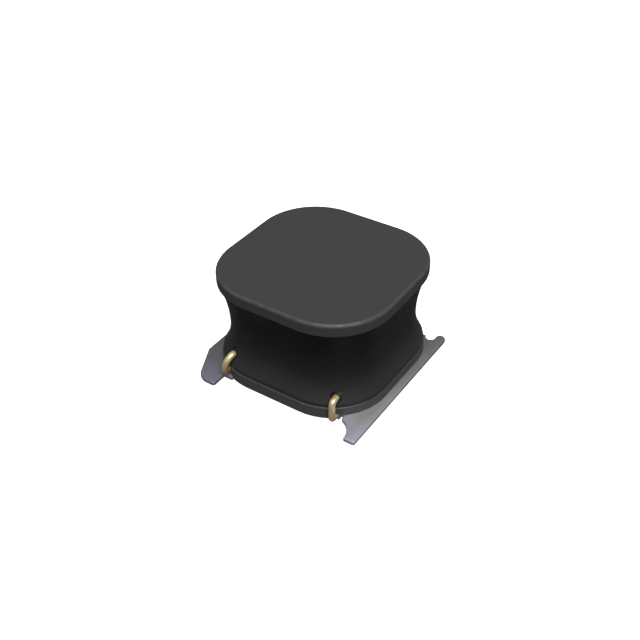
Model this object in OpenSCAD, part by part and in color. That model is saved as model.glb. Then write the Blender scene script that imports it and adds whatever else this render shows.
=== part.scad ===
// Shielded surface-mount power inductor: a ferrite drum core, a two-layer winding
// potted in magnetic resin between the flanges, and two flat terminals glued
// underneath. Millimetres, +Z up. The origin is on the core's axis, at the level of
// the circuit board that the terminals rest on. The winding's leads leave towards -Y.

/* [Drum core] */
// Side of the square top flange
top_w = 9.4; // [8.8:0.05:10]
// Corner radius of the top flange, seen from above
top_corner_r = 3.15; // [2.6:0.05:3.8]
// Thickness of the top flange
top_t = 0.7; // [0.6:0.05:1.1]
// Radius along the top flange's upper edge
top_edge_r = 0.2; // [0.05:0.01:0.25]
// Side of the square bottom flange
base_w = 9.34; // [9.1:0.02:9.8]
// Corner radius of the bottom flange, seen from above
base_corner_r = 3.1; // [2.8:0.05:3.5]
// Thickness of the bottom flange
base_t = 0.7; // [0.65:0.05:1]
// Radius along the flanges' other edges
edge_r = 0.08; // [0.03:0.01:0.12]
// Height of the whole part above the board
part_h = 5.8; // [5:0.05:7]
// Diameter of the round post between the flanges
post_d = 5; // [4:0.05:5.2]
// Height of the bottom flange's underside above the board
standoff = 0.05; // [0.02:0.01:0.1]

/* [Winding] */
// Diameter of the enamelled wire
wire_d = 0.35; // [0.25:0.01:0.4]
// Free space between one turn and the next
turn_gap = 0.02; // [0.01:0.005:0.05]
// Free space between the post and the inner layer
post_gap = 0.05; // [0.04:0.005:0.1]
// Free space between the two layers
layer_gap = 0.05; // [0.04:0.005:0.1]
// Free space between the winding and the two flanges
flange_gap = 0.01; // [0.01:0.005:0.1]
// Distance from the axis to the lead on the +X side, where it passes the flange
lead_x_right = 3.28; // [3.2:0.01:3.35]
// Distance from the axis to the lead on the -X side, where it passes the flange
lead_x_left = 2.98; // [2.9:0.01:3.1]
// Height above the flange at which the lead on the +X side leaves the resin
lead_rise_right = 0.53; // [0.45:0.01:0.6]
// Height above the flange at which the lead on the -X side leaves the resin
lead_rise_left = 0.75; // [0.65:0.01:0.8]

/* [Magnetic resin] */
// Deepest hollow of the resin's side, measured in from the top flange
hollow = 0.55; // [0.3:0.05:0.7]
// Height of the deepest point above the board
hollow_z = 2.6; // [1.8:0.05:3]
// How far the resin's foot stays in from the top flange's outline
foot_inset = 0.08; // [0.06:0.01:0.3]
// Height of the upright part of the resin's foot
foot_h = 0.2; // [0.05:0.05:0.4]
// How far the resin's top edge stays in from the top flange's outline
brow_inset = 0.1; // [0.05:0.01:0.2]
// Free space around the winding inside the resin
bore_gap = 0.03; // [0.02:0.01:0.1]
// Free space around the leads in the resin and the flange
lead_gap = 0.02; // [0.01:0.005:0.04]
// Free space around a lead in the mouth of its bore
mouth_gap = 0.13; // [0.08:0.01:0.15]

/* [Terminals] */
// Distance over both terminals
span = 10.1; // [9.9:0.05:10.4]
// Thickness of the terminal strip
strip_t = 0.25; // [0.15:0.01:0.3]
// Distance from the axis to a pad's inner edge
pad_in = 2.6; // [2.3:0.05:2.8]
// How far a pad's rear edge lies from the axis
pad_rear = 3.88; // [3.7:0.02:3.95]
// How far the front ears reach from the axis
ear_y = 5.15; // [5:0.05:5.4]
// Width of the slender ear on the +X side, at its end
slim_ear_w = 0.62; // [0.5:0.02:0.8]
// Width of the rounded ear on the -X side
broad_ear_w = 1.95; // [1.8:0.05:2.05]
// Radius of the rounded ear's outer corner
broad_ear_r = 0.77; // [0.5:0.01:0.9]
// How far from the axis the rounded ear's outer edge begins to slant
slant_y = 3.4; // [3.2:0.05:3.7]
// Radius of the hollow beside the slender ear
ear_hollow_r = 1.15; // [1.05:0.05:1.2]
// Radius of the notch beside a rear finger
notch_r = 0.25; // [0.15:0.01:0.3]
// Small rounding of the ears' corners
ear_corner_r = 0.13; // [0.11:0.01:0.2]
// How far the rounded ear reaches beyond the slender one
broad_ear_extra = 0.28; // [0.1:0.02:0.4]
// How far the tab under the left lead stays in from the bottom flange's side
tab_in_left = 0.09; // [0.05:0.01:0.15]
// How far the pad behind the right lead stays in from the bottom flange's side
tab_in_right = 0.87; // [0.8:0.01:0.95]
// How far the rear fingers reach from the axis
finger_y = 4.3; // [4.15:0.05:4.5]
// Width of a rear finger
finger_w = 0.52; // [0.4:0.02:0.6]
// Free space between a terminal's edge and its recess
recess_gap = 0.05; // [0.02:0.01:0.1]
// Free space behind the end of a lead's tail
slot_gap = 0.1; // [0.05:0.01:0.2]
// Thickness of the solder round the leads' tails
solder_t = 0.04; // [0.02:0.01:0.05]
// Free space between the solder and the slender ear
solder_gap = 0.18; // [0.1:0.01:0.2]
// Thickness of the adhesive above a terminal
glue_t = 0.03; // [0.02:0.01:0.05]
// How far the adhesive stays in from a pad's edge
glue_inset = 0.25; // [0.15:0.05:0.3]

/* [Hidden] */
$fn = 64;
eps = 0.01;

// Heights
base_top = standoff + base_t;
window_top = part_h - top_t;
ceiling = strip_t + glue_t;

// Plan
top_half = top_w / 2;
base_half = base_w / 2;
base_c = base_half - base_corner_r;
strip_out = span / 2;

// Winding
wire_r = wire_d / 2;
solder_r = wire_r + solder_t;
pitch = wire_d + turn_gap;
layer_1 = post_d / 2 + post_gap + wire_r;
layer_2 = layer_1 + wire_d + layer_gap;
bore_r = layer_2 + wire_r + bore_gap;
first_z = base_top + flange_gap + wire_r;
last_z = window_top - flange_gap - wire_r;
turns = floor((last_z - first_z) / pitch);
step_up = 60;
ring_step = 20;
wire_sides = 8;

// How far the rim lies from the X axis at distance x from the Y axis, plus the wire
rim_hug = wire_r - 0.04;
function rim_y(x) = base_c + sqrt(pow(base_corner_r + rim_hug, 2) - pow(x - base_c, 2));
rim_left = [-lead_x_left, -rim_y(lead_x_left)];
rim_right = [lead_x_right, -rim_y(lead_x_right)];

// The coil, as the angle a turned so far: up the inner layer, across, down the outer
inner_end = 360 * turns;
outer_start = inner_end + step_up;
coil_end = 2 * inner_end - 180;
coil_rings = round(coil_end / ring_step);
top_z = first_z + pitch * turns;
function polar(r, a, z) = [r * cos(a), r * sin(a), z];
function coil_r(a) = layer_1 + (layer_2 - layer_1) * min(1, max(0, (a - inner_end) / step_up));
function coil_z(a) =
    a < inner_end ? first_z + pitch * a / 360
    : top_z - pitch * max(0, a - outer_start) / 360;
function coil_point(a) = polar(coil_r(a), 180 - a, coil_z(a));
coil = [for (i = [0:coil_rings]) coil_point(coil_end * i / coil_rings)];

// Each lead runs straight to its knee, inside the resin, and from there to its exit
knee_y = -2.77;
knee_left = [-layer_1, knee_y, first_z];
knee_right = [layer_2, knee_y, coil_z(coil_end)];
exit_left = [-layer_1, rim_left[1] + 0.36, base_top + lead_rise_left];
exit_right = [rim_right[0] - 0.01, rim_right[1] + 0.4, base_top + lead_rise_right];

// Each lead's tail runs back under the flange, bedded in solder on a thin film of it
solder_film = 0.03;
tab_y_left = base_half - tab_in_left;
tab_y_right = base_half - tab_in_right;
tail_z_left = strip_t + solder_film + wire_r;
tail_z_right = solder_film + wire_r;
tail_left = [[rim_left[0], -tab_y_left + 0.75, tail_z_left], [rim_left[0], -tab_y_left + 0.25, tail_z_left]];
tail_right = [[rim_right[0], -tab_y_right, tail_z_right], [rim_right[0], -tab_y_right - 0.3, tail_z_right]];

function between(p, q, t) = p + (q - p) * t;
function cut_corners(p) = concat(
    [p[0]],
    [for (i = [1:len(p) - 2]) each [between(p[i], p[i - 1], 0.25), between(p[i], p[i + 1], 0.25)]],
    [p[len(p) - 1]]
);

// A knee with a point close by on either side keeps its place when corners are cut
function knee(k, before, after) = [between(k, before, 0.1), k, between(k, after, 0.1)];

lead_left = cut_corners(cut_corners(concat(
    tail_left,
    [
        [rim_left[0] - 0.02, rim_left[1] - 0.12, tail_z_left - 0.02],
        [rim_left[0] - 0.02, rim_left[1] - 0.16, tail_z_left + 0.25],
        [rim_left[0] + 0.1, rim_left[1] - 0.06, exit_left[2] - 0.3],
        exit_left
    ],
    knee(knee_left, exit_left, coil[0]),
    [coil[0]]
)));
lead_right = cut_corners(cut_corners(concat(
    tail_right,
    [
        [rim_right[0], rim_right[1] - 0.01, tail_z_right - 0.01],
        [rim_right[0], rim_right[1], base_top - 0.15],
        [rim_right[0], rim_right[1] + 0.01, exit_right[2] - 0.04],
        exit_right
    ],
    knee(knee_right, exit_right, coil[coil_rings]),
    [coil[coil_rings]]
)));
function reversed(p) = [for (i = [len(p) - 1:-1:0]) p[i]];
wire_path = concat(
    lead_left,
    [for (i = [1:coil_rings - 1]) coil[i]],
    reversed(lead_right)
);

// A tube swept along a path: each ring's frame is the last one, turned the least
function unit(v) = v / norm(v);
function heading(p, i) = unit(p[min(i + 1, len(p) - 1)] - p[max(i - 1, 0)]);
function square_to(v, t) = unit(v - t * (v * t));
function ring(centre, t, n) = [
    for (k = [0:wire_sides - 1])
        let (a = 360 * k / wire_sides)
        centre + wire_r * (cos(a) * n + sin(a) * cross(t, n))
];

module swept_wire(path) {
    count = len(path);
    rings = [
        for (i = 0, n = square_to([0, 0, 1], heading(path, 0));
             i < count;
             i = i + 1, n = i < count ? square_to(n, heading(path, i)) : n)
            each ring(path[i], heading(path, i), n)
    ];
    walls = [
        for (i = [0:count - 2], k = [0:wire_sides - 1])
            let (k2 = (k + 1) % wire_sides, a = i * wire_sides, b = a + wire_sides)
            each [[a + k, b + k, b + k2], [a + k, b + k2, a + k2]]
    ];
    first_cap = [for (k = [0:wire_sides - 1]) k];
    last_cap = [for (k = [wire_sides - 1:-1:0]) (count - 1) * wire_sides + k];
    polyhedron(points = rings, faces = concat(walls, [first_cap, last_cap]), convexity = 10);
}

// A round rod from p to q, lengthened by extra at both ends
module rod(p, q, r, extra = 0) {
    d = q - p;
    reach = norm(d);
    translate(p)
        rotate([0, acos(d[2] / reach), atan2(d[1], d[0])])
            translate([0, 0, -extra])
                cylinder(h = reach + 2 * extra, r = r);
}

// A rounded square with the section of its rim given as the child: four revolved
// corners, four straight sides and the block between them
module rounded_square(half, corner_r, z0, h) {
    c = half - corner_r;
    for (i = [0:3])
        rotate([0, 0, 90 * i]) {
            translate([c, c, z0])
                rotate_extrude(angle = 90)
                    children();
            translate([c, c, z0])
                rotate([90, 0, 0])
                    linear_extrude(2 * c)
                        children();
        }
    translate([-c, -c, z0])
        cube([2 * c, 2 * c, h]);
}

// Section of a flange's rim, from its corner's axis outwards
module flange_section(reach, h, low_r, high_r) {
    translate([0, low_r])
        square([reach, h - low_r - high_r]);
    square([reach - low_r, low_r + eps]);
    translate([0, h - high_r - eps])
        square([reach - high_r, high_r + eps]);
    translate([reach - low_r, low_r])
        circle(low_r);
    translate([reach - high_r, h - high_r])
        circle(high_r);
}

// Radius of an arc that leaves upright and moves aside by the given amount over h
function arc_r(aside, h) = (aside * aside + h * h) / (2 * aside);

// Section of the resin's side: an upright foot, then two arcs that meet upright at
// the deepest point
module resin_section() {
    h = window_top - base_top;
    deep = hollow_z - base_top;
    upper_r = arc_r(hollow - brow_inset, h - deep);
    lower_r = arc_r(hollow - foot_inset, deep - foot_h);
    waist = top_corner_r - hollow;
    difference() {
        union() {
            square([top_corner_r - foot_inset, deep + eps]);
            translate([0, deep])
                square([top_corner_r, h - deep]);
        }
        intersection() {
            translate([waist + upper_r, deep])
                circle(upper_r, $fn = 200);
            translate([0, deep])
                square([2 * top_corner_r, h]);
        }
        intersection() {
            translate([waist + lower_r, deep])
                circle(lower_r, $fn = 200);
            translate([0, -h])
                square([2 * top_corner_r, h + deep]);
        }
    }
}

// Plans of the terminals, as they lie on the +X side, grown outwards by g
function arc(centre, r, from, to, steps = 12) = [
    for (i = [0:steps])
        let (a = from + (to - from) * i / steps)
        centre + r * [cos(a), sin(a)]
];

// Rear half: the finger's round tip, the notch beside it and the pad's rear edge
function rear_plan(g) =
    let (tip_r = finger_w / 2, notch_x = strip_out - finger_w - notch_r)
    concat(
        arc([strip_out - tip_r, finger_y - tip_r], tip_r + g, 0, 180),
        arc([notch_x, pad_rear], notch_r - g, 0, -180),
        [[notch_x - notch_r + g, pad_rear + g], [pad_in - g, pad_rear + g]]
    );

// Front half with the slender ear: straight outside, hollowed inside, clear of the
// solder round the right lead's tail
function slim_front(g) =
    let (
        r = ear_hollow_r - g,
        hollow = [strip_out - slim_ear_w - ear_hollow_r, -ear_y],
        tip = [strip_out - ear_corner_r, -ear_y + ear_corner_r],
        root_x = rim_right[0] + solder_r + solder_gap - g,
        edge = arc(hollow, r, acos((root_x - hollow[0]) / r), 0)
    )
    concat(
        [[pad_in - g, -tab_y_right - g], [edge[0][0], -tab_y_right - g]],
        edge,
        [[edge[len(edge) - 1][0], -ear_y - g]],
        arc(tip, ear_corner_r + g, -90, 0, 6)
    );

// Front half with the broad ear: its outer edge slants into a large round corner
function broad_front(g) =
    let (
        inner_x = strip_out - broad_ear_w,
        tip_y = -ear_y - broad_ear_extra,
        small = [inner_x + ear_corner_r, tip_y + ear_corner_r],
        large = [inner_x + 0.5, tip_y + broad_ear_r],
        slant = [strip_out + g, -slant_y],
        off = slant - large,
        tangent = atan2(off[1], off[0]) - acos((broad_ear_r + g) / norm(off))
    )
    concat(
        [[pad_in - g, -tab_y_left - g], [inner_x - g, -tab_y_left - g]],
        arc(small, ear_corner_r + g, -180, -90, 6),
        arc(large, broad_ear_r + g, -90, tangent),
        [slant]
    );

module plan_left(g)
    mirror([1, 0])
        polygon(concat(broad_front(g), rear_plan(g)));

module plan_right(g)
    polygon(concat(slim_front(g), rear_plan(g)));

module drum_core() color([0.23, 0.23, 0.24]) {
    difference() {
        union() {
            rounded_square(base_half, base_corner_r, standoff, base_t)
                flange_section(base_corner_r, base_t, edge_r, edge_r);
            translate([0, 0, base_top - eps])
                cylinder(h = window_top - base_top + 2 * eps, d = post_d, $fn = 96);
            rounded_square(top_half, top_corner_r, window_top, top_t)
                flange_section(top_corner_r, top_t, edge_r, top_edge_r);
        }
        linear_extrude(ceiling) {
            plan_left(recess_gap);
            mirror([1, 0])
                recess_mouth(pad_in - recess_gap, tab_y_left);
        }
        linear_extrude(ceiling) {
            plan_right(recess_gap);
            recess_mouth(rim_right[0], tab_y_right);
        }
        lead_grooves();
    }
}

// Opens a recess through the rim, from inner_x outwards, in front of a tab
module recess_mouth(inner_x, tab_y)
    translate([inner_x, -base_half - eps])
        square([strip_out - inner_x, base_half + eps - tab_y]);

// Grooves in the bottom flange's rim for the leads. For their tails there is a notch
// through the flange on the left, and a slot under it on the right.
module lead_grooves() {
    for (p = [rim_left, rim_right])
        translate([p[0], p[1], 0])
            cylinder(h = base_top + wire_d, r = wire_r + lead_gap);
    tail_slot(tail_left[0], base_top + eps);
    tail_slot(tail_right[0], tail_z_right + wire_r + lead_gap);
}

module tail_slot(tail, h) {
    side = solder_r + lead_gap;
    translate([tail[0] - side, -base_half, 0])
        cube([2 * side, base_half + tail[1] + slot_gap, h]);
}

module winding() color([0.78, 0.55, 0.28])
    swept_wire(wire_path);

module magnetic_resin() color([0.12, 0.12, 0.13]) {
    h = window_top - base_top;
    difference() {
        rounded_square(top_half, top_corner_r, base_top, h)
            resin_section();
        translate([0, 0, base_top - eps])
            cylinder(h = h + 2 * eps, r = bore_r, $fn = 96);
        lead_bore(coil[0], knee_left, exit_left);
        lead_bore(coil[coil_rings], knee_right, exit_right);
    }
}

// The bore round a lead, from the coil past its knee and out at its wider mouth
module lead_bore(start, bend, end) {
    rod(start, bend, wire_r + lead_gap);
    rod(bend, between(bend, end, 1.3), wire_r + lead_gap);
    translate(bend)
        sphere(wire_r + 2 * lead_gap);
    translate(end)
        sphere(wire_r + mouth_gap);
}

module terminal_left() color([0.62, 0.62, 0.65])
    linear_extrude(strip_t)
        plan_left(0);

module terminal_right() color([0.62, 0.62, 0.65])
    linear_extrude(strip_t)
        plan_right(0);

// A rectangle of adhesive between a pad and the flange, in from the pad's inner edge
module adhesive() {
    half_l = pad_rear - 3 * glue_inset;
    translate([pad_in + glue_inset, -half_l, strip_t])
        cube([base_half - pad_in - 3 * glue_inset, 2 * half_l, glue_t]);
}

module adhesive_left() color([0.75, 0.72, 0.62])
    mirror([1, 0, 0])
        adhesive();

module adhesive_right() color([0.75, 0.72, 0.62])
    adhesive();

// Solder that beds a tail from p to q, standing on height z
module solder_bed(p, q, z) {
    difference() {
        intersection() {
            rod([p[0], p[1], z], [q[0], q[1], z], solder_r);
            translate([p[0] - solder_r, q[1] - solder_r, z])
                cube([2 * solder_r, p[1] - q[1] + 2 * solder_r, solder_r]);
        }
        rod(p, q, wire_r, wire_d);
    }
}

module solder_left() color([0.66, 0.67, 0.68])
    solder_bed(tail_left[0], between(tail_left[0], tail_left[1], 0.6), strip_t);

module solder_right() color([0.66, 0.67, 0.68])
    solder_bed(tail_right[0], between(tail_right[0], tail_right[1], 0.7), 0);

drum_core();
winding();
magnetic_resin();
terminal_left();
terminal_right();
adhesive_left();
adhesive_right();
solder_left();
solder_right();
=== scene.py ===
"""Looks for the shielded surface-mount inductor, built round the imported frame."""
import math

import bmesh
import bpy
from mathutils import Matrix, Vector


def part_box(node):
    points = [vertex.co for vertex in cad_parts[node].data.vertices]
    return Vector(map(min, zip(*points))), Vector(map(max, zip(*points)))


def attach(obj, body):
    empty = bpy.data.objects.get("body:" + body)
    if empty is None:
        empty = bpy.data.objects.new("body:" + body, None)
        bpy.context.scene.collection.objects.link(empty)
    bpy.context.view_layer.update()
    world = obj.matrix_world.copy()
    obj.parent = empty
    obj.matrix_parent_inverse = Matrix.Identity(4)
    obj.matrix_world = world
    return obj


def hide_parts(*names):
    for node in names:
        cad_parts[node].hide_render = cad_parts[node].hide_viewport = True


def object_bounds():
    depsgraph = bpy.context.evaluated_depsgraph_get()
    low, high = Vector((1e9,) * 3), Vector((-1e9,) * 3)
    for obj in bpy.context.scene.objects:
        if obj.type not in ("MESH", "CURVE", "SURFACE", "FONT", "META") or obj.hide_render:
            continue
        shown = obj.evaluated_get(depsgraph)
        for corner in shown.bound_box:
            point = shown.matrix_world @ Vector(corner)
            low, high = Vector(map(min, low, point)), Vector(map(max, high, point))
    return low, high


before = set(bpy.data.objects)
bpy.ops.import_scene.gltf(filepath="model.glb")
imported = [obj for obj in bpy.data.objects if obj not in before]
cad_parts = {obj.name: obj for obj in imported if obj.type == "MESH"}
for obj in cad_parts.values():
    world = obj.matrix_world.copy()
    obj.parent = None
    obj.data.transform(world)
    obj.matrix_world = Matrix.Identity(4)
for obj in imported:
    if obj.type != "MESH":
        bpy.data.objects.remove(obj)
cad_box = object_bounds()

MM = 0.001

# ---------------------------------------------------------------- camera
# The camera stands off the front corner, above the part, and is tipped very slightly.
VIEW_TURN = 33.76        # degrees from -Y towards +X
VIEW_RISE = 37.53        # degrees above the board
VIEW_ROLL = -0.42        # degrees
VIEW_DISTANCE = 47.0 * MM
VIEW_HEIGHT = 3.0 * MM   # height on the axis that the view is aimed past
AIM_SIDE = -0.2 * MM   # how far the aim lies to the right of the axis
AIM_UP = -0.741 * MM     # how far it lies above VIEW_HEIGHT in the picture
LENS = 51.76             # mm, on a 36 mm sensor


def make_camera():
    turn, rise, roll = (math.radians(a) for a in (VIEW_TURN, VIEW_RISE, VIEW_ROLL))
    right = Vector((math.cos(turn), math.sin(turn), 0))
    ahead = Vector((-math.sin(turn) * math.cos(rise), math.cos(turn) * math.cos(rise), -math.sin(rise)))
    up = right.cross(ahead)
    tipped_right = right * math.cos(roll) + up * math.sin(roll)
    tipped_up = up * math.cos(roll) - right * math.sin(roll)
    place = Vector((0, 0, VIEW_HEIGHT)) - ahead * VIEW_DISTANCE + tipped_right * AIM_SIDE + tipped_up * AIM_UP
    camera = bpy.data.objects.new("camera", bpy.data.cameras.new("camera"))
    bpy.context.scene.collection.objects.link(camera)
    camera.data.lens = LENS
    camera.data.sensor_width = 36
    camera.data.clip_start = 1 * MM
    camera.data.clip_end = 10
    axes = Matrix((tipped_right, tipped_up, -ahead)).transposed().to_4x4()
    camera.matrix_world = Matrix.Translation(place) @ axes
    bpy.context.scene.camera = camera


# ---------------------------------------------------------------- sizes, as in the CAD
resin_low, resin_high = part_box("magnetic_resin")
strip_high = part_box("terminal_left")[1]

BASE_TOP = resin_low.z
WINDOW_TOP = resin_high.z
STRIP_T = strip_high.z
BASE_HALF = 4.67 * MM
BASE_CORNER = 3.1 * MM

WIRE_R = 0.175 * MM
POST_GAP = 0.05 * MM     # between the post and the inner layer
LAYER_GAP = 0.05 * MM    # between the two layers
TURN_GAP = 0.02 * MM     # between turns
FLANGE_GAP = 0.01 * MM   # between the end turns and the flanges
RIM_GAP = 0.135 * MM     # from the flange's rim to the lead's axis
SOLDER_GAP = 0.03 * MM   # under the tails
LAYER_1 = 2.5 * MM + POST_GAP + WIRE_R
LAYER_2 = LAYER_1 + 2 * WIRE_R + LAYER_GAP
PITCH = 2 * WIRE_R + TURN_GAP
STEP_UP = 60             # degrees that the wire takes to cross from layer to layer

LEAD_LEFT = -2.98 * MM
LEAD_RIGHT = 3.28 * MM
RISE_LEFT = 0.75 * MM    # each lead's exit above the bottom flange
RISE_RIGHT = 0.53 * MM
KNEE_Y = -2.77 * MM      # where each lead leaves its layer


def rim_y(x):
    """The lead's axis where it passes down the bottom flange's rim, as a Y."""
    centre = BASE_HALF - BASE_CORNER
    return -(centre + math.sqrt((BASE_CORNER + RIM_GAP) ** 2 - (abs(x) - centre) ** 2))


RIM_LEFT = Vector((LEAD_LEFT, rim_y(LEAD_LEFT), 0))
RIM_RIGHT = Vector((LEAD_RIGHT, rim_y(LEAD_RIGHT), 0))
EXIT_LEFT = Vector((-LAYER_1, RIM_LEFT.y + 0.36 * MM, BASE_TOP + RISE_LEFT))
EXIT_RIGHT = Vector((LEAD_RIGHT - 0.01 * MM, RIM_RIGHT.y + 0.4 * MM, BASE_TOP + RISE_RIGHT))
TAIL_Z_LEFT = STRIP_T + SOLDER_GAP + WIRE_R
TAIL_Z_RIGHT = SOLDER_GAP + WIRE_R
TAB_LEFT = -(BASE_HALF - 0.09 * MM)
TAB_RIGHT = -(BASE_HALF - 0.87 * MM)
MENISCUS_LONG = 0.3 * MM
MENISCUS_HIGH = 0.21 * MM


# ---------------------------------------------------------------- material helpers
class Shader:
    """A node material with short helpers. Coordinates are the object's own, in millimetres."""

    def __init__(self, name):
        self.material = bpy.data.materials.new(name)
        self.material.use_nodes = True
        self.nodes = self.material.node_tree.nodes
        self.links = self.material.node_tree.links
        self.main = self.nodes["Principled BSDF"]
        place = self.nodes.new("ShaderNodeTexCoord")
        self.mm = self.nodes.new("ShaderNodeVectorMath")
        self.mm.operation = "SCALE"
        self.mm.inputs["Scale"].default_value = 1 / MM
        self.links.new(place.outputs["Object"], self.mm.inputs[0])
        self.coords = self.mm.outputs[0]

    def set(self, **values):
        for name, value in values.items():
            self.main.inputs[name.replace("_", " ")].default_value = value

    def noise(self, scale, detail=3.0, roughness=0.5, stretch=None):
        """Noise from 0 to 1, with its scale in cycles per millimetre."""
        node = self.nodes.new("ShaderNodeTexNoise")
        node.inputs["Scale"].default_value = scale
        node.inputs["Detail"].default_value = detail
        node.inputs["Roughness"].default_value = roughness
        coords = self.coords
        if stretch:
            mapping = self.nodes.new("ShaderNodeMapping")
            mapping.inputs["Scale"].default_value = stretch
            self.links.new(coords, mapping.inputs["Vector"])
            coords = mapping.outputs[0]
        self.links.new(coords, node.inputs["Vector"])
        return node.outputs["Fac"]

    def specks(self, scale, low, high):
        """Small specks: 1 in the middle of each cell, 0 outside."""
        node = self.nodes.new("ShaderNodeTexVoronoi")
        node.inputs["Scale"].default_value = scale
        self.links.new(self.coords, node.inputs["Vector"])
        return self.span(node.outputs["Distance"], low, high, 1, 0)

    def span(self, value, low, high, to_low, to_high):
        """The value, mapped from low..high to to_low..to_high and held there."""
        node = self.nodes.new("ShaderNodeMapRange")
        node.interpolation_type = "SMOOTHSTEP"
        for name, number in (("From Min", low), ("From Max", high), ("To Min", to_low), ("To Max", to_high)):
            node.inputs[name].default_value = number
        self.links.new(value, node.inputs["Value"])
        return node.outputs["Result"]

    def maths(self, operation, a, b=None):
        node = self.nodes.new("ShaderNodeMath")
        node.operation = operation
        for k, item in enumerate((a, b)):
            if item is None:
                continue
            if isinstance(item, (int, float)):
                node.inputs[k].default_value = item
            else:
                self.links.new(item, node.inputs[k])
        return node.outputs[0]

    def mix(self, factor, first, second):
        """A colour from first to second; each is a colour or a socket."""
        node = self.nodes.new("ShaderNodeMix")
        node.data_type = "RGBA"
        self.links.new(factor, node.inputs["Factor"])
        for name, item in (("A", first), ("B", second)):
            socket = [s for s in node.inputs if s.name == name and s.type == "RGBA"][0]
            if isinstance(item, tuple):
                socket.default_value = (*item, 1)
            else:
                self.links.new(item, socket)
        return [s for s in node.outputs if s.type == "RGBA"][0]

    def normal_part(self, axis):
        """One component of the surface's own normal."""
        geometry = self.nodes.new("ShaderNodeNewGeometry")
        split = self.nodes.new("ShaderNodeSeparateXYZ")
        self.links.new(geometry.outputs["Normal"], split.inputs[0])
        return split.outputs[axis]

    def place_part(self, axis):
        split = self.nodes.new("ShaderNodeSeparateXYZ")
        self.links.new(self.coords, split.inputs[0])
        return split.outputs[axis]

    def feed(self, name, value):
        self.links.new(value, self.main.inputs[name])

    def bump(self, height, distance, strength=1.0):
        """Bump of the given depth in millimetres. Calls stack up."""
        node = self.nodes.new("ShaderNodeBump")
        node.inputs["Strength"].default_value = strength
        node.inputs["Distance"].default_value = distance * MM
        self.links.new(height, node.inputs["Height"])
        old = self.main.inputs["Normal"].links
        if old:
            self.links.new(old[0].from_socket, node.inputs["Normal"])
        self.links.new(node.outputs["Normal"], self.main.inputs["Normal"])


def ferrite():
    """Sintered ferrite: charcoal, finely grained, paler where edges are tumbled."""
    s = Shader("ferrite")
    s.set(Roughness=0.5, Specular_IOR_Level=0.35)
    grain = s.noise(9, 4, 0.65)
    blotch = s.noise(0.55, 3, 0.5)
    up = s.normal_part("Z")
    tone = s.mix(s.span(blotch, 0.35, 0.65, 0, 1), (0.0262, 0.0262, 0.0264), (0.0288, 0.0288, 0.0289))
    tone = s.mix(s.span(grain, 0.3, 0.72, 0, 1), tone, (0.0315, 0.0315, 0.0317))
    # Painted light: the bottom flange is painted a little paler than the top one, standing in for light
    # thrown up from the floor
    low = s.span(s.place_part("Z"), 0.5, 1.0, 1, 0)
    tone = s.mix(s.maths("MULTIPLY", low, s.span(blotch, 0.2, 0.6, 0.75, 1)), tone, (0.041, 0.0405, 0.041))
    pits = s.specks(5.5, 0.05, 0.13)
    # Painted shade: the pits are painted darker, standing in for the shade inside them
    tone = s.mix(s.maths("MULTIPLY", pits, 0.3), tone, (0.016, 0.016, 0.0162))
    # An edge is where the surface faces neither up nor sideways
    edge = s.maths("MULTIPLY", s.span(up, 0.12, 0.4, 0, 1), s.span(up, 0.8, 0.97, 1, 0))
    worn = s.maths("MULTIPLY", edge, s.span(s.noise(2.2, 4, 0.6), 0.3, 0.6, 0.35, 1))
    worn = s.maths("MULTIPLY", worn, s.span(s.place_part("Z"), 1, 5, 0.15, 1))
    tone = s.mix(worn, tone, (0.05, 0.05, 0.051))
    s.feed("Base Color", tone)
    s.feed("Roughness", s.span(s.noise(1.6, 3), 0.3, 0.7, 0.44, 0.56))
    s.bump(s.noise(16, 3, 0.6), 0.006, 0.5)
    s.bump(pits, -0.008, 0.6)
    return s.material


def magnetic_resin():
    """Iron-filled epoxy: nearly black, cast smooth, painted greyer towards its foot and darker under the top
    flange, as painted light and shade.
    """
    s = Shader("magnetic_resin")
    s.set(Specular_IOR_Level=0.1)
    height = s.place_part("Z")
    cloud = s.span(s.noise(0.7, 3, 0.5), 0.3, 0.7, 0, 1)
    # Painted shade and light: the resin is painted darkest up under the top flange, where the flange shades
    # it, and paler down to its foot, where more light falls
    tone = s.mix(s.span(height, 2.2, 4.4, 1, 0), (0.0036, 0.0036, 0.0037), (0.0108, 0.0108, 0.0109))
    tone = s.mix(s.span(height, 0.9, 2.6, 1, 0), tone, (0.0245, 0.0245, 0.0247))
    tone = s.mix(s.maths("MULTIPLY", cloud, 0.22), tone, (0.0125, 0.0125, 0.0126))
    tone = s.mix(s.span(s.noise(14, 4, 0.6), 0.4, 0.75, 0, 0.2), tone, (0.014, 0.014, 0.0141))
    # Painted glints: small pale specks in the colour stand in for light caught by the iron filler
    painted_glints = s.specks(14, 0.03, 0.09)
    tone = s.mix(s.maths("MULTIPLY", painted_glints, 0.15), tone, (0.03, 0.03, 0.0305))
    s.feed("Base Color", tone)
    s.feed("Roughness", s.span(s.noise(2.2, 3), 0.3, 0.7, 0.4, 0.48))
    s.bump(s.noise(18, 3, 0.6), 0.002, 0.35)
    s.bump(s.noise(0.9, 2), 0.03, 0.25)
    return s.material


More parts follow.
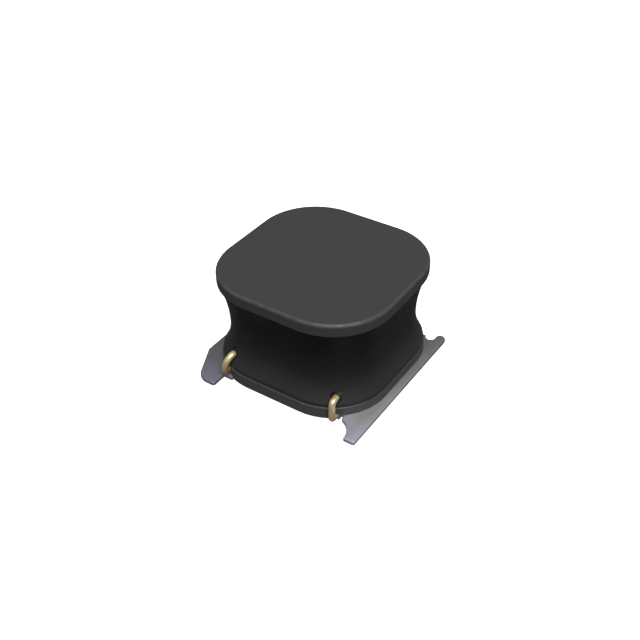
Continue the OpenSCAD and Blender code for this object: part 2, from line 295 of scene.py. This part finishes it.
def tinned():
    """Matt tin plating on rolled strip: grey, with long rolling marks."""
    s = Shader("tin_plating")
    s.set(Metallic=0.6, Specular_IOR_Level=0.5)
    cloud = s.noise(0.9, 4, 0.55)
    marks = s.noise(5, 4, 0.7, (7, 0.35, 1))
    painted_lit_tone = s.mix(s.span(cloud, 0.3, 0.7, 0, 1), (0.355, 0.355, 0.355), (0.395, 0.395, 0.395))
    painted_shade_tone = s.mix(s.span(cloud, 0.3, 0.7, 0, 1), (0.11, 0.11, 0.112), (0.14, 0.14, 0.142))
    # Painted light and shade: the plating is painted darker at the back and on the left strip and paler at
    # the front right, standing in for how the key light falls
    across = s.maths("SUBTRACT", s.place_part("X"), s.place_part("Y"))
    tone = s.mix(s.span(across, -3, 11.5, 0, 1), painted_shade_tone, painted_lit_tone)
    tone = s.mix(s.span(marks, 0.45, 0.75, 0, 0.2), tone, (0.2, 0.2, 0.2))
    # Painted reflection: the ears in front are painted bluer and brighter, standing in for the surroundings
    # they reflect, and darker on the left as painted shade
    ear = s.span(s.place_part("Y"), -4.6, -3.5, 1, 0)
    painted_reflection_tone = s.mix(s.span(across, -3, 11.5, 0, 1), (0.1, 0.1, 0.16), (0.43, 0.415, 0.56))
    tone = s.mix(s.maths("MULTIPLY", ear, 0.55), tone, painted_reflection_tone)
    s.feed("Base Color", tone)
    s.feed("Roughness", s.span(marks, 0.3, 0.7, 0.5, 0.62))
    s.bump(marks, 0.003, 0.5)
    s.bump(s.noise(7, 3), 0.004, 0.4)
    return s.material


def enamelled_copper():
    """Copper under clear golden enamel, drawn lengthwise."""
    s = Shader("enamelled_copper")
    s.set(Metallic=0.72, Coat_Weight=1.0, Coat_Roughness=0.12)
    cloud = s.noise(2.4, 3)
    tone = s.mix(s.span(cloud, 0.3, 0.7, 0, 1), (0.76, 0.6, 0.31), (0.84, 0.69, 0.4))
    # The enamel is browner towards both ends, the left one most
    low = s.span(s.place_part("Z"), 0.2, 1.25, 1, 0)
    left = s.span(s.place_part("X"), -2, 2, 1.0, 0.25)
    browner_ends = s.maths("MULTIPLY", low, left)
    tone = s.mix(browner_ends, tone, (0.3, 0.19, 0.08))
    s.feed("Base Color", tone)
    s.feed("Roughness", s.span(s.noise(3, 2), 0.3, 0.7, 0.32, 0.38))
    s.bump(s.noise(3, 1), 0.002, 0.2)
    return s.material


def solder():
    """Satin solder, a little matt and uneven."""
    s = Shader("solder")
    s.set(Metallic=0.9)
    tone = s.mix(s.span(s.noise(3, 3), 0.35, 0.65, 0, 1), (0.5, 0.5, 0.49), (0.62, 0.62, 0.6))
    s.feed("Base Color", tone)
    s.feed("Roughness", s.span(s.noise(6, 3), 0.3, 0.7, 0.28, 0.42))
    s.bump(s.noise(4, 3), 0.01, 0.4)
    return s.material


def adhesive():
    """Cured epoxy, cream and slightly translucent at its edges."""
    s = Shader("adhesive")
    s.set(Roughness=0.4, Specular_IOR_Level=0.4)
    s.feed("Base Color", s.mix(s.span(s.noise(2, 3), 0.3, 0.7, 0, 1), (0.42, 0.38, 0.27), (0.5, 0.46, 0.34)))
    s.bump(s.noise(5, 3), 0.01, 0.4)
    return s.material


def paint(node, material):
    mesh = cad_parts[node].data
    mesh.materials.clear()
    mesh.materials.append(material)


# ---------------------------------------------------------------- mesh helpers
def add_mesh(name, points, faces, material, smooth=True):
    mesh = bpy.data.meshes.new(name)
    mesh.from_pydata([tuple(p) for p in points], [], faces)
    mesh.update()
    mesh.materials.append(material)
    for face in mesh.polygons:
        face.use_smooth = smooth
    thing = bpy.data.objects.new(name, mesh)
    bpy.context.scene.collection.objects.link(thing)
    return thing


def ring_faces(rings, count, closed=False):
    """Quads between successive rings of count points each."""
    faces = []
    last = rings if closed else rings - 1
    for i in range(last):
        a, b = i * count, ((i + 1) % rings) * count
        for k in range(count):
            n = (k + 1) % count
            faces.append((a + k, a + n, b + n, b + k))
    return faces


def cut_corners(points, times):
    for _ in range(times):
        out = [points[0]]
        for before, here, after in zip(points, points[1:], points[2:]):
            out += [here.lerp(before, 0.25), here.lerp(after, 0.25)]
        points = out + [points[-1]]
    return points


# ---------------------------------------------------------------- terminals
def make_terminal(side, material):
    """The strip with the rounded edges of a stamping."""
    node = "terminal_" + side
    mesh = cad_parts[node].data.copy()
    form = bmesh.new()
    form.from_mesh(mesh)
    bmesh.ops.remove_doubles(form, verts=form.verts, dist=0.0002 * MM)
    bmesh.ops.dissolve_limit(form, angle_limit=math.radians(1), verts=form.verts, edges=form.edges)
    form.to_mesh(mesh)
    form.free()
    mesh.materials.clear()
    mesh.materials.append(material)
    for face in mesh.polygons:
        face.use_smooth = True
    strip = bpy.data.objects.new("strip_" + side, mesh)
    bpy.context.scene.collection.objects.link(strip)
    rounding = strip.modifiers.new("rounding", "BEVEL")
    rounding.width = 0.06 * MM
    rounding.segments = 3
    rounding.limit_method = "ANGLE"
    rounding.angle_limit = math.radians(40)
    rounding.harden_normals = True
    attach(strip, "root")
    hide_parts(node)


# ---------------------------------------------------------------- winding
def coil_points(step):
    """Up the inner layer, across, and down the outer one."""
    first_z = BASE_TOP + FLANGE_GAP + WIRE_R
    room = WINDOW_TOP - BASE_TOP - 2 * (FLANGE_GAP + WIRE_R)
    turns = math.floor(room / PITCH)
    inner_end = 360 * turns
    coil_end = 2 * inner_end - 180
    count = round(coil_end / step)
    points = []
    for i in range(count + 1):
        a = coil_end * i / count
        across = min(1, max(0, (a - inner_end) / STEP_UP))
        r = LAYER_1 + (LAYER_2 - LAYER_1) * across
        if a < inner_end:
            z = first_z + PITCH * a / 360
        else:
            z = first_z + PITCH * (turns - max(0, a - inner_end - STEP_UP) / 360)
        t = math.radians(180 - a)
        points.append(Vector((r * math.cos(t), r * math.sin(t), z)))
    return points


def knee(point, before, after):
    return [point.lerp(before, 0.1), point, point.lerp(after, 0.1)]


def wire_path():
    coil = coil_points(7.5)
    knee_left = Vector((-LAYER_1, KNEE_Y, coil[0].z))
    knee_right = Vector((LAYER_2, KNEE_Y, coil[-1].z))
    left = [
        Vector((RIM_LEFT.x, TAB_LEFT + 0.75 * MM, TAIL_Z_LEFT)),
        Vector((RIM_LEFT.x, TAB_LEFT + 0.25 * MM, TAIL_Z_LEFT)),
        Vector((RIM_LEFT.x - 0.02 * MM, RIM_LEFT.y - 0.12 * MM, TAIL_Z_LEFT - 0.02 * MM)),
        Vector((RIM_LEFT.x - 0.02 * MM, RIM_LEFT.y - 0.16 * MM, TAIL_Z_LEFT + 0.25 * MM)),
        Vector((RIM_LEFT.x + 0.1 * MM, RIM_LEFT.y - 0.06 * MM, EXIT_LEFT.z - 0.3 * MM)),
        EXIT_LEFT,
        *knee(knee_left, EXIT_LEFT, coil[0]),
        coil[0],
    ]
    right = [
        Vector((RIM_RIGHT.x, TAB_RIGHT, TAIL_Z_RIGHT)),
        Vector((RIM_RIGHT.x, TAB_RIGHT - 0.3 * MM, TAIL_Z_RIGHT)),
        Vector((RIM_RIGHT.x, RIM_RIGHT.y - 0.01 * MM, TAIL_Z_RIGHT - 0.01 * MM)),
        Vector((RIM_RIGHT.x, RIM_RIGHT.y, BASE_TOP - 0.15 * MM)),
        Vector((RIM_RIGHT.x, RIM_RIGHT.y + 0.01 * MM, EXIT_RIGHT.z - 0.04 * MM)),
        EXIT_RIGHT,
        *knee(knee_right, EXIT_RIGHT, coil[-1]),
        coil[-1],
    ]
    return cut_corners(left, 4) + coil[1:-1] + cut_corners(right, 4)[::-1]


def sweep(name, path, radii, sides, material):
    """A closed round form along the path, with one radius for each point."""
    points = []
    across = Vector((0, 0, 1))
    for i, (centre, r) in enumerate(zip(path, radii)):
        ahead = (path[min(i + 1, len(path) - 1)] - path[max(i - 1, 0)]).normalized()
        across = (across - ahead * across.dot(ahead)).normalized()
        other = ahead.cross(across)
        for k in range(sides):
            t = 2 * math.pi * k / sides
            points.append(centre + (across * math.cos(t) + other * math.sin(t)) * r)
    faces = ring_faces(len(path), sides)
    faces.append(tuple(range(sides))[::-1])
    faces.append(tuple((len(path) - 1) * sides + k for k in range(sides)))
    return add_mesh(name, points, faces, material)


def make_wire(path, material):
    """One round wire along the whole path, with its two ends domed."""
    radii = [WIRE_R] * len(path)
    for before, here in ((0, 30), (30, 60), (60, 85)):
        step = WIRE_R * 0.5 * (math.sin(math.radians(here)) - math.sin(math.radians(before)))
        r = WIRE_R * math.cos(math.radians(here))
        first = path[0] + (path[0] - path[1]).normalized() * step
        last = path[-1] + (path[-1] - path[-2]).normalized() * step
        path = [first] + path + [last]
        radii = [r] + radii + [r]
    wire = sweep("wire", path, radii, 18, material)
    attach(wire, "root")
    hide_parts("winding")


def make_meniscus(side, path, mouth, way, material):
    """Resin drawn out along a lead where it leaves the casting, thinning to nothing on the wire."""
    i = min(range(len(path)), key=lambda k: (path[k] - mouth).length)
    stretch, run = [path[i]], [0.0]
    while run[-1] < MENISCUS_LONG:
        i += way
        run.append(run[-1] + (path[i] - stretch[-1]).length)
        stretch.append(path[i])
    radii = [WIRE_R + 0.004 * MM + MENISCUS_HIGH * (r / run[-1]) ** 1.6 for r in run]
    collar = sweep("meniscus_" + side, stretch, radii, 24, material)
    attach(collar, "root")


# ---------------------------------------------------------------- stage and lights
def make_floor():
    bpy.ops.mesh.primitive_plane_add(size=4, location=(0, 0, cad_box[0].z))
    floor = bpy.context.object
    floor.name = "floor"
    s = Shader("floor_white")
    s.set(Base_Color=(0.6, 0.6, 0.6, 1), Roughness=0.95, Specular_IOR_Level=0.0,
          Emission_Color=(1, 1, 1, 1), Emission_Strength=0.93)
    floor.data.materials.append(s.material)
    # The floor's own glow stays off the part
    floor.visible_diffuse = False
    floor.visible_glossy = False
    return s.material


def make_backdrop(material):
    """A plain wall round the stage, so that low views see no horizon."""
    steps, radius, height = 96, 0.6, 0.5
    points = [Vector((radius * math.cos(t), radius * math.sin(t), z))
              for z in (cad_box[0].z - 0.001, height)
              for t in (2 * math.pi * k / steps for k in range(steps))]
    wall = add_mesh("backdrop", points, ring_faces(2, steps), material)
    for kind in ("visible_diffuse", "visible_glossy", "visible_shadow"):
        setattr(wall, kind, False)


def make_light(name, turn, rise, distance, size, power):
    """A square soft light, aimed at the part from that direction."""
    turn, rise = math.radians(turn), math.radians(rise)
    way = Vector((math.sin(turn) * math.cos(rise), -math.cos(turn) * math.cos(rise), math.sin(rise)))
    lamp = bpy.data.lights.new(name, "AREA")
    lamp.size = size
    lamp.energy = power
    holder = bpy.data.objects.new(name, lamp)
    holder.location = way * distance
    holder.rotation_mode = "QUATERNION"
    holder.rotation_quaternion = (-way).to_track_quat("-Z", "Y")
    bpy.context.scene.collection.objects.link(holder)


def make_world(low, high):
    """Soft surroundings: high overhead, fading to low under the horizon."""
    world = bpy.data.worlds.new("studio")
    world.use_nodes = True
    nodes, links = world.node_tree.nodes, world.node_tree.links
    place = nodes.new("ShaderNodeTexCoord")
    split = nodes.new("ShaderNodeSeparateXYZ")
    fade = nodes.new("ShaderNodeMapRange")
    fade.interpolation_type = "SMOOTHSTEP"
    for name, number in (("From Min", -0.25), ("From Max", 0.8), ("To Min", low), ("To Max", high)):
        fade.inputs[name].default_value = number
    links.new(place.outputs["Generated"], split.inputs[0])
    links.new(split.outputs["Z"], fade.inputs["Value"])
    links.new(fade.outputs["Result"], nodes["Background"].inputs["Strength"])
    nodes["Background"].inputs["Color"].default_value = (1, 1, 1, 1)
    bpy.context.scene.world = world


make_camera()
paint("drum_core", ferrite())
resin = magnetic_resin()
paint("magnetic_resin", resin)
tin = tinned()
make_terminal("left", tin)
make_terminal("right", tin)
joint = solder()
paint("solder_left", joint)
paint("solder_right", joint)
glue = adhesive()
paint("adhesive_left", glue)
paint("adhesive_right", glue)
route = wire_path()
make_meniscus("left", route, EXIT_LEFT, 1, resin)
make_meniscus("right", route, EXIT_RIGHT, -1, resin)
make_wire(route, enamelled_copper())
make_backdrop(make_floor())
make_light("key", 45, 55, 0.30, 0.2, 1.15)
make_world(0.16, 0.48)
bpy.context.scene.view_settings.view_transform = "Standard"
